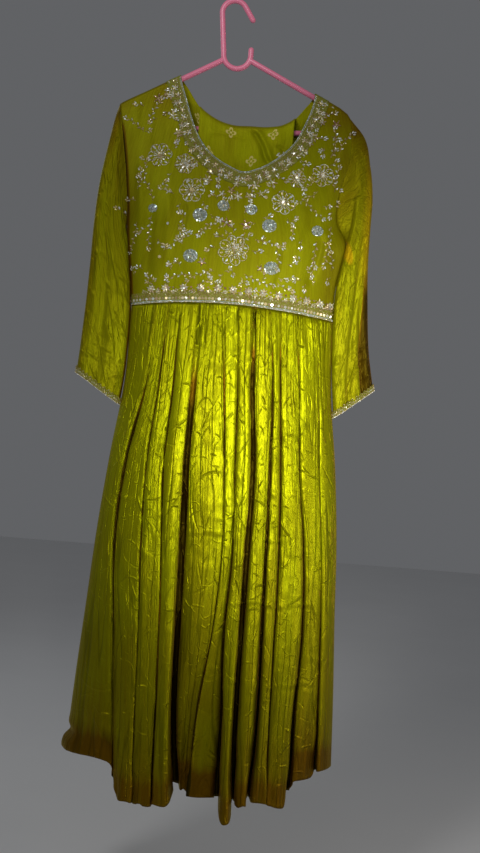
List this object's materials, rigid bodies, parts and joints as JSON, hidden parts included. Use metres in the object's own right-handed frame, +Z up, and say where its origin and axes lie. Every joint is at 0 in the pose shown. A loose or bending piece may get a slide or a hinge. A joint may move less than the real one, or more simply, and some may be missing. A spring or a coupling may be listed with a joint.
{
  "type": "anarkali gown on a tubular plastic hanger",
  "caption": "Long gathered gown with an embroidered bodice and three-quarter sleeves, hanging on a tubular plastic hanger.",
  "frame": {"origin": "the point inside the top of the hook where the hanger bears on a rail", "axes": "+Z up, -Y the front of the gown, +X to the viewer's right when facing the front"},
  "size_m": [0.54, 0.2268, 1.4404],
  "materials": {
    "shot_silk": "crushed shot silk, green shot with rust, soft sheen",
    "embroidered_border": "silver, pale gold and rose bead and sequin work on silk",
    "pink_plastic": "smooth moulded plastic"
  },
  "bodies": {
    "root": {"hanger": "pink_plastic", "bodice_front": "shot_silk", "bodice_back": "shot_silk", "sleeve_left": "shot_silk", "sleeve_right": "shot_silk", "skirt_front": "shot_silk", "skirt_back": "shot_silk", "neck_border": "embroidered_border", "waist_border": "embroidered_border", "cuff_left": "embroidered_border", "cuff_right": "embroidered_border"}
  },
  "joints": []
}
